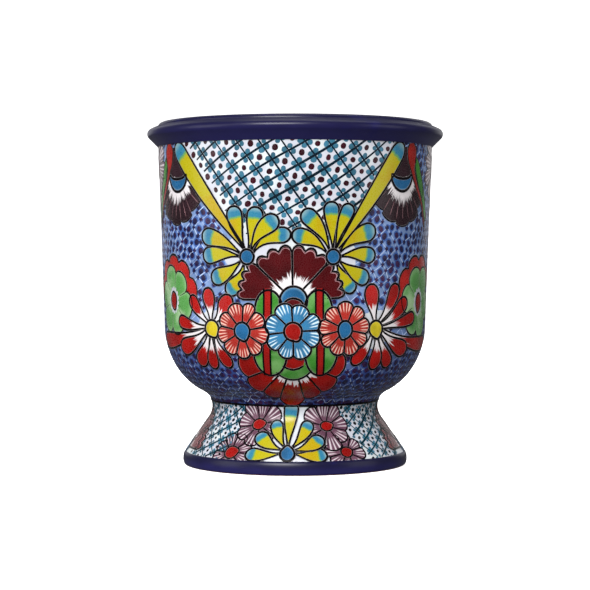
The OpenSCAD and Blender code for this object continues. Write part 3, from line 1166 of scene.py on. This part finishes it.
    # Bursts
    for centre, petals in (((-89, 99.5), LEFT_BURST), ((86, 99), RIGHT_BURST)):
        petals_round(plan, "burst", centre, petals, 8, 2.6, neck=0.22, end=1.2, swell=2.0)
    egg(plan, "bead_yellow", (-89, 99.5), 17, 16.5, 6.0, -60)
    egg(plan, "bead_yellow", (86, 99), 16.5, 16.5, 6.0, -75)

    # Green lobed flowers towards the sides
    lobed_flower(plan, (-152, 126), 6, 36, 18, (-18, 160, 5), (13, 17), -70, (1, 1.02))
    lobed_flower(plan, (158, 124), 6, 37, 22, (0, 175, 5), (13, 18), -100, (1, 1.05))

    # Combed flower under the rim, half way round the pot
    half = math.pi * BOWL_REACH / MM / 2
    combed_flower(plan, (half, 262), 52, 14, (26, 24), 0.6, 6, (1, 0.9), 0.5)
    return plan


def paint_ground():
    """The blue ground: a pale net in short runs, and a dot at each crossing and in each cell."""
    plan = Plan(BOWL_REACH, seed=5)
    half = math.pi * BOWL_REACH / MM / 2
    count, rise = 27, 7.1
    step = half / count
    rows = range(0, 40)

    def crossing(i, j):
        draw = random.Random(i * 131 + j % (2 * count) * 7919)
        slant = i * 0.34 * step
        return np.array((j * step + slant + draw.uniform(-1.4, 1.4), i * rise + 6 + draw.uniform(-1.4, 1.4)))

    for i in rows:
        for j in range(-count, count):
            here = crossing(i, j)
            share = plan.draw.uniform(0.62, 0.85) if (i + j) % 2 == 0 else plan.draw.uniform(0.95, 1.2)
            plan.net_dots.append((*here, share))
            for side in (-1, 1):
                there = crossing(i + 1, j + side) if -count < j < count - 1 else here + (side * step, rise)
                if (i + j) % 2 or bare((here + there) / 2) or plan.draw.random() > 0.85:
                    continue
                bow = (here + there) / 2 + wander(plan, 0.6)
                plan.stroke("net", [here, bow, there], -0.45, plan.draw.uniform(0.5, 1.2), (0.8, 0.8))
    return plan


BARE_ROUNDS = ((-47, 169, 24), (38, 169, 23), (-89, 99, 19), (86, 99, 19), (-2, 128, 53))


def bare(point):
    """Whether a point lies on white that the ground's net must not cross."""
    return in_panel(point, -4) or any(math.dist(point, round_[:2]) < round_[2] for round_ in BARE_ROUNDS)


def in_panel(point, margin=0.0):
    """Whether a point lies on the white ground between the long petals."""
    x, y = point
    left, right = -50 - (y - 176) * 0.755, 42 + (y - 176) * 0.685
    return 186 < y < 291 and left + 1.2 * margin < x < right - 1.2 * margin


def lattice(plan, net, inside, brush, span):
    """Crossed strokes. Each cell gets a dark dot, and each crossing four teal dabs. net holds a
    crossing, the two steps between crossings, how much the net steepens, and the dabs' reach."""
    rising, falling = np.array(net["rising"]), np.array(net["falling"])

    def spot(i, j):
        x, y = np.array(net["origin"]) + rising * i + falling * j
        return np.array((x, y + net["steep"] * (x + 10) * abs(x + 10)))

    def lay(run, thick):
        shown = [p for p in run if inside(p, 6.5)]
        if len(shown) > 3:
            ends = (plan.draw.uniform(0.5, 0.9), plan.draw.uniform(0.6, 1))
            plan.stroke(brush, shown, 0.55, thick * plan.draw.uniform(0.85, 1.2), ends)

    for k in range(-span, span):
        steps = np.arange(-span, span, 0.25)
        lay([spot(k, t) for t in steps], 0.85)
        lay([spot(t, k) for t in steps], 1.15)
    for i in range(-span, span):
        for j in range(-span, span):
            cross, cell = spot(i, j), spot(i + 0.5, j + 0.5)
            if inside(cell, 8):
                plan.dots.append((*(cell + wander(plan, 0.7)), plan.draw.uniform(0.85, 1.12)))
            e, f = spot(i + 0.1, j) - cross, spot(i, j + 0.1) - cross
            e, f = e / np.linalg.norm(e), f / np.linalg.norm(f)
            for way in (e + f, e - f, -e - f, f - e):
                dab = cross + way / np.linalg.norm(way) * net["dab"] + wander(plan, 0.35)
                if inside(dab, 6):
                    plan.dabs.append((*dab, plan.draw.uniform(0.85, 1.15)))


def wander(plan, reach):
    return np.array((plan.draw.uniform(-reach, reach), plan.draw.uniform(-reach, reach)))


def beside_panel(point, margin=0.0):
    """Whether a point lies on the pedestal's lattice, right or left of its flowers."""
    x, y = abs(point[0]), point[1]
    return -59 < y < 3 and 60 + margin - 0.3 * (y + 30) < x < 128 - margin + 0.55 * (y + 52)


def paint_pedestal():
    """The pedestal's panel. y is negative below the neck seam."""
    plan = Plan(PEDESTAL_REACH, seed=8, top=3.4)
    quarter = math.pi * PEDESTAL_REACH / MM / 2
    collar = between([(-quarter, -2.5), (-quarter, 3.4)], [(quarter, -2.5), (quarter, 3.4)], 5, 121)
    plan.fill("white", collar, -0.6, dome=0.0)
    for way in (-1, 1):
        net = {"origin": (90 * way, -28), "rising": (10.5, 6.5), "falling": (8, -9), "steep": 0.0,
               "dab": 3.3}
        lattice(plan, net, lambda p, margin, way=way: p[0] * way > 0 and beside_panel(p, margin * 0.4),
                "pedestal_lattice", 9)
    blob(plan, (-7, -49), 30, 0.6)
    plan.stroke("outline", [(x, 3.4) for x in np.linspace(-quarter - 1, quarter + 1, 90)], 2.6, 1.1)
    petals_round(plan, "fan", (-7, -49), [
        (29, -50, 15, -2), (27, -31, 15, -3), (16, -13, 13.5, -2), (-3, 8, 16, 1), (-21, -12, 13.5, 2),
        (-38, -27, 15, 3), (-46, -50, 14, 2)], 6.5, 3.4, neck=0.08, swell=1.7)
    egg(plan, "bead_blue", (-7, -50), 13, 15.5, 7, 90)
    for centre, reach, bead, level, first in (
            ((-41, -17), 27, (15, 12.5), 1.6, 12), ((35, -19), 27, (14, 11), 1.6, 30),
            ((-62, -50), 22, (14, 14), 0.3, 0), ((49, -49), 21, (11.5, 11.5), 0.3, 15)):
        combed_flower(plan, centre, reach, 8, bead, level, first)
    for side in (-1, 1):
        centre = (side * (quarter - 4), -52)
        bounds = [(a, a + 36) for a in (0, 36, 72, 108, 144)]
        shell(plan, "rose", centre, bounds, 8, (46, 51, 55, 51, 46), (3, 3, 3, 3, 3), 1)
        egg(plan, "eye_blue", centre, 24, 24, 3)
    return plan


def palette(colours):
    """Each fill's glaze."""
    return {
        "white": white_glaze(colours),
        "fan": fan_glaze(colours),
        "burst": feathered_glaze("burst_glaze", colours.red, 0.38, 0.3, edge=0.25),
        "red_stem": plain_glaze("red_stem_glaze", rgb("98201a"), 0.2),
        "red_shell": feathered_glaze("red_shell_glaze", rgb("a3120c"), 0.05, 0.04),
        "maroon": feathered_glaze("maroon_glaze", colours.maroon, 0.3, 0.26, deep=0.55, edge=0, hairs=16.0),
        "rose": feathered_glaze("rose_glaze", rgb("6e1822"), 0.3, 0.1, edge=0, hairs=16.0),
        "maroon_bead": plain_glaze("maroon_bead_glaze", colours.maroon),
        "leaf": leaf_glaze("leaf_glaze", colours.green, colours.leaf_light),
        "leaf_pale": leaf_glaze("pale_leaf_glaze", rgb("5fa455"), rgb("b5d4a8")),
        "border": plain_glaze("border_glaze", rgb("a8201c"), 0.2),
        "stripe": plain_glaze("stripe_glaze", rgb("94130f"), 0.2),
        "umber": plain_glaze("umber_glaze", colours.umber, 0.3),
        "umber_feather": feathered_glaze("umber_feather_glaze", colours.umber, 0.44, 0.34, edge=0,
                                         hairs=12.0),
        "red_fringe": feathered_glaze("red_fringe_glaze", rgb("a3120c"), 0.52, 1.1, edge=0, hairs=22.0),
        "eye_blue": bead_glaze("eye_blue_glaze", colours.petal_blue, rgb("8fc0da")),
        "bead_blue": bead_glaze("bead_blue_glaze", colours.petal_blue, rgb("8fc0da")),
        "bead_red": bead_glaze("bead_red_glaze", rgb("98100c"), rgb("d4645a")),
        "bead_yellow": bead_glaze("bead_yellow_glaze", rgb("cdb918"), rgb("e2d878")),
        "daisy_blue": streaked_glaze("daisy_blue_glaze", colours.sky, rgb("d9edf4")),
        "daisy_red": streaked_glaze("daisy_red_glaze", colours.brick, rgb("ecc4b4")),
        "combed": streaked_glaze("combed_plum_glaze", colours.plum, rgb("d8ccd2"), 4.0, 0.35, 0.85),
    }


# ==== Operators ====


class PLANTER_OT_bowl(bpy.types.Operator):
    """Turns the bowl, with a blue ground outside, a cobalt lip and bare clay inside"""
    bl_idname = "planter.bowl"
    bl_label = "Bowl"
    bl_options = {"REGISTER", "UNDO"}

    def execute(self, context):
        colours = context.scene.planter_colours
        lip_low = RIM_TOP - 22 * MM
        wall = WALL.radius_at(0.6 * WALL.rim) - 5 * MM

        def zone(radius, height):
            lip = (height > RIM_TOP - 1 * MM) | (height > lip_low) & (radius < wall)
            return np.where(lip, 1, np.where(outer_side("bowl", radius, height, SEAM_Z), 0, 2))

        # The ground deepens towards the neck: partly denser glaze, partly painted shade under the belly
        ground = ground_glaze("blue_ground_glaze", colours.ground_light, rgb("3a4a8c"))
        # The lip's cobalt carries painted light and shade: lighter lower down, darker at the very top
        materials = [ground, cobalt_glaze(colours, RIM_TOP - 2 * MM, RIM_TOP + 4 * MM), clay_body(colours)]
        turned_piece("bowl", "bowl_body", "painted_glaze", materials, zone)
        return {"FINISHED"}


class PLANTER_OT_rolls(bpy.types.Operator):
    """Turns the rim roll and the foot roll, with the slip behind each"""
    bl_idname = "planter.rolls"
    bl_label = "Rim and foot rolls"
    bl_options = {"REGISTER", "UNDO"}

    def execute(self, context):
        colours = context.scene.planter_colours
        clay = clay_body(colours)
        # The foot roll is bare clay where the pot rests on it
        for roll, slip, bare in (("rim_roll", "rim_slip", 0.0), ("foot_roll", "foot_slip", 1.0 * MM)):
            low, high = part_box(roll)[0].z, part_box(roll)[1].z
            # Painted light and shade: the roll's cobalt is lighter on its lower side and darker at its top
            cobalt = cobalt_glaze(colours, low + 0.3 * (high - low), high)
            cobalt.name = f"{roll}_cobalt"

            def zone(radius, height, bare=bare):
                return np.where(height < bare, 1, 0)

            turned_piece(roll, f"{roll}_coil", "cobalt_glaze", [cobalt, clay], zone)
            turned_piece(slip, f"{slip}_line", "clay_slip", [cobalt, clay], zone)
        return {"FINISHED"}


class PLANTER_OT_pedestal(bpy.types.Operator):
    """Turns the pedestal, white outside and bare clay inside, and the slip at the neck"""
    bl_idname = "planter.pedestal"
    bl_label = "Pedestal"
    bl_options = {"REGISTER", "UNDO"}

    def execute(self, context):
        colours = context.scene.planter_colours

        def zone(radius, height):
            return np.where(outer_side("pedestal", radius, height, FOOT_TOP), 0, 1)

        glazed = [white_glaze(colours), clay_body(colours)]
        turned_piece("pedestal", "pedestal_body", "white_glaze", glazed, zone)
        line = [plain_glaze("neck_line_glaze", colours.outline)]
        turned_piece("neck_slip", "neck_slip_line", "clay_slip", line, lambda radius, height: 0 * height)
        return {"FINISHED"}


class PLANTER_OT_paint(bpy.types.Operator):
    """Paints the flowers, leaves, lattice and outlines on the bowl and the pedestal"""
    bl_idname = "planter.paint"
    bl_label = "Painted flowers"
    bl_options = {"REGISTER", "UNDO"}

    def execute(self, context):
        sizes, colours = context.scene.planter_sizes, context.scene.planter_colours
        glazes = palette(colours)
        lattice_ink = plain_glaze("lattice_stroke_ink", colours.lattice_ink, 0.4, gloss=0.15)
        pedestal_ink = plain_glaze("pedestal_stroke_ink", rgb("0b3540"), 0.4, gloss=0.15)
        # Each brush's ink, width, and thickness as a share of half its width
        inks = {
            "outline": (plain_glaze("outline_ink", colours.outline, 0.2, gloss=0.1), sizes.outline, 0.17),
            "pink_line": (plain_glaze("pink_line_ink", rgb("a4787e"), 0.2), 0.9 * MM, 0.2),
            "halo": (plain_glaze("margin_ink", rgb("8f8a8a"), 0.15), sizes.halo, 0.07),
            "lattice": (lattice_ink, 2.2 * MM, 0.1),
            "pedestal_lattice": (pedestal_ink, 1.9 * MM, 0.1),
        }
        lift, thickness, seed = 1.5 * sizes.relief, 0.1 * MM, 21
        # Each part's plan, its dabs' share of the bowl's size, and its lattice dots' colour
        parts = (("bowl", paint_bowl(), 1, rgb("340c18")),
                 ("pedestal", paint_pedestal(), 0.6, rgb("0c1018")))
        for part, plan, dab_share, dot_colour in parts:
            for colour, fills in plan.fills.items():
                mesh = join([wrapped_fills(fills, glazes[colour], plan.reach, math.pi * plan.reach * half)
                             for half in HALVES.values()])
                piece(mesh, f"{part}_{colour}", "white_glaze" if colour == "white" else "painted_glaze")
            for brush, strokes in plan.strokes.items():
                ink, width, depth = inks[brush]
                lay_strokes(f"{part}_{brush}", strokes, width, depth, ink, plan.reach)
            for name, points, colour, size in (("dots", plan.dots, dot_colour, sizes.lattice_dot),
                                               ("dabs", plan.dabs, colours.teal, sizes.lattice_dab)):
                ink = plain_glaze(f"{part}_lattice_{name}_ink", colour, 0.35)
                mesh = placed_dabs(points, ink, plan.reach, lift, size * dab_share, thickness, seed)
                piece(mesh, f"{part}_lattice_{name}", "painted_glaze")
        return {"FINISHED"}


class PLANTER_OT_ground(bpy.types.Operator):
    """Lays the pale net, the washes and the dark dots between the flowers"""
    bl_idname = "planter.ground"
    bl_label = "Dabbed ground"
    bl_options = {"REGISTER", "UNDO"}

    def execute(self, context):
        sizes, colours = context.scene.planter_sizes, context.scene.planter_colours
        plan = paint_ground()
        fills = [bpy.data.objects[f"bowl_{colour}"].data.copy() for colour in paint_bowl().fills]
        covers = link(bpy.data.objects.new("covers", join(fills)))
        # The washes deepen towards the neck too: partly denser glaze, partly painted shade under the belly
        wash = ground_glaze("ground_wash_glaze", colours.ground_mid, rgb("2a3a7c"))
        layers = (("ground_washes", wash, 0.1 * sizes.relief, sizes.ground_wash, 0.05 * MM),
                  ("ground_dots", dot_glaze(colours), 0.7 * sizes.relief, sizes.ground_dot, 0.12 * MM))
        for name, glaze, lift, size, thickness in layers:
            mesh = placed_dabs(plan.net_dots, glaze, BOWL_REACH, lift, size, thickness, 5, covers)
            piece(mesh, name, "painted_glaze")
        bpy.data.objects.remove(covers)
        ink = plain_glaze("net_ink", rgb("b2c4e6"), 0.3)
        lay_strokes("ground_net", plan.strokes["net"], sizes.net, 0.15, ink, BOWL_REACH, 5)
        return {"FINISHED"}


class PLANTER_OT_stage(bpy.types.Operator):
    """Sets the pale floor, the soft lights and the camera"""
    bl_idname = "planter.stage"
    bl_label = "Stage"
    bl_options = {"REGISTER", "UNDO"}

    def execute(self, context):
        middle = 0.5 * (cad_box[0][2] + cad_box[1][2])
        self.backdrop()
        self.light("key", (-0.6, -2.25, 1.7), (1.4, 1.0), 98, middle)
        self.light("top", (0.3, 0.5, 2.4), (2.0, 1.4), 13, middle)
        for side in (-1, 1):
            self.light(f"edge_{side}", (side * 1.05, 1.8, 0.9), (0.9, 1.6), 3, middle)
            self.light(f"side_{side}", (side * 1.9, -0.7, 0.7), (1.2, 1.4), 9.5 - 2.5 * side, middle)
        self.light("bounce", (0, -1.2, 0.01), (3.0, 1.8), 5, 3.0).visible_glossy = False
        self.light("behind", (0, 2.1, 1.2), (0.9, 1.0), 45, middle).visible_glossy = False
        world = bpy.data.worlds.new("studio")
        world.use_nodes = True
        world.node_tree.nodes["Background"].inputs["Color"].default_value = (1, 1, 1, 1)
        world.node_tree.nodes["Background"].inputs["Strength"].default_value = 0.13
        bpy.context.scene.world = world
        bpy.context.scene.view_settings.view_transform = "Standard"
        self.camera()
        return {"FINISHED"}

    @staticmethod
    def backdrop():
        """A pale floor that sweeps up all round, and that keeps its glare off the glaze."""
        material = bpy.data.materials.new("backdrop_paper")
        material.use_nodes = True
        look = {"Base Color": (0.9, 0.9, 0.9, 1), "Roughness": 0.9, "Specular IOR Level": 0.1,
                "Emission Color": (1, 1, 1, 1), "Emission Strength": 1.0}
        for key, value in look.items():
            material.node_tree.nodes["Principled BSDF"].inputs[key].default_value = value
        floor, bend, top, around, steps = 3.2, 1.2, 5.0, 72, 17
        line = [(floor + bend * math.sin(a), bend - bend * math.cos(a))
                for a in np.linspace(0, math.pi / 2, steps)] + [(floor + bend, top)]
        turns = np.arange(around) * 2 * math.pi / around
        rings = [(radius * math.cos(a), radius * math.sin(a), z) for radius, z in line for a in turns]
        walls = [(i * around + j, (i + 1) * around + j, (i + 1) * around + k, i * around + k)
                 for i in range(steps) for j in range(around) for k in [(j + 1) % around]]
        sheets = (("floor", rings[:around], [list(range(around))]), ("sweep", rings, walls))
        for name, verts, faces in sheets:
            mesh = bpy.data.meshes.new(name)
            mesh.from_pydata(verts, [], faces)
            mesh.shade_smooth()
            mesh.materials.append(material)
            sheet = link(bpy.data.objects.new(name, mesh))
            sheet.visible_diffuse = False
            sheet.visible_glossy = False

    @staticmethod
    def light(name, place, size, power, aim):
        lamp = bpy.data.lights.new(name, "AREA")
        lamp.shape = "RECTANGLE"
        lamp.size, lamp.size_y = size
        lamp.energy = power
        obj = link(bpy.data.objects.new(name, lamp))
        obj.location = place
        obj.rotation_euler = (Vector((0, 0, aim)) - Vector(place)).to_track_quat("-Z", "Y").to_euler()
        obj.visible_camera = False
        return obj

    @staticmethod
    def camera():
        camera = bpy.data.cameras.new("camera")
        camera.lens = CAMERA_LENS
        camera.sensor_width = 36
        obj = link(bpy.data.objects.new("camera", camera))
        obj.location = CAMERA_PLACE
        obj.rotation_euler = (math.radians(CAMERA_TILT), 0, 0)
        bpy.context.scene.camera = obj


class PLANTER_PT_panel(bpy.types.Panel):
    """The planter's sizes, colours and steps, in the order that they are done"""
    bl_idname = "PLANTER_PT_panel"
    bl_label = "Urn planter"
    bl_space_type = "VIEW_3D"
    bl_region_type = "UI"
    bl_category = "Planter"

    def draw(self, context):
        for group in (context.scene.planter_sizes, context.scene.planter_colours):
            box = self.layout.box()
            for name in group.__annotations__:
                box.prop(group, name)
        for operator in OPERATORS:
            self.layout.operator(operator.bl_idname)


OPERATORS = (PLANTER_OT_stage, PLANTER_OT_bowl, PLANTER_OT_pedestal, PLANTER_OT_rolls, PLANTER_OT_paint,
             PLANTER_OT_ground)
CLASSES = (PlanterSizes, PlanterColours, *OPERATORS, PLANTER_PT_panel)


def register():
    for cls in CLASSES:
        bpy.utils.register_class(cls)
    bpy.types.Scene.planter_sizes = PointerProperty(type=PlanterSizes)
    bpy.types.Scene.planter_colours = PointerProperty(type=PlanterColours)


def unregister():
    del bpy.types.Scene.planter_colours
    del bpy.types.Scene.planter_sizes
    for cls in reversed(CLASSES):
        bpy.utils.unregister_class(cls)


def main():
    register()
    for operator in OPERATORS:
        group, name = operator.bl_idname.split(".")
        getattr(getattr(bpy.ops, group), name)()


if __name__ == "__main__":
    main()
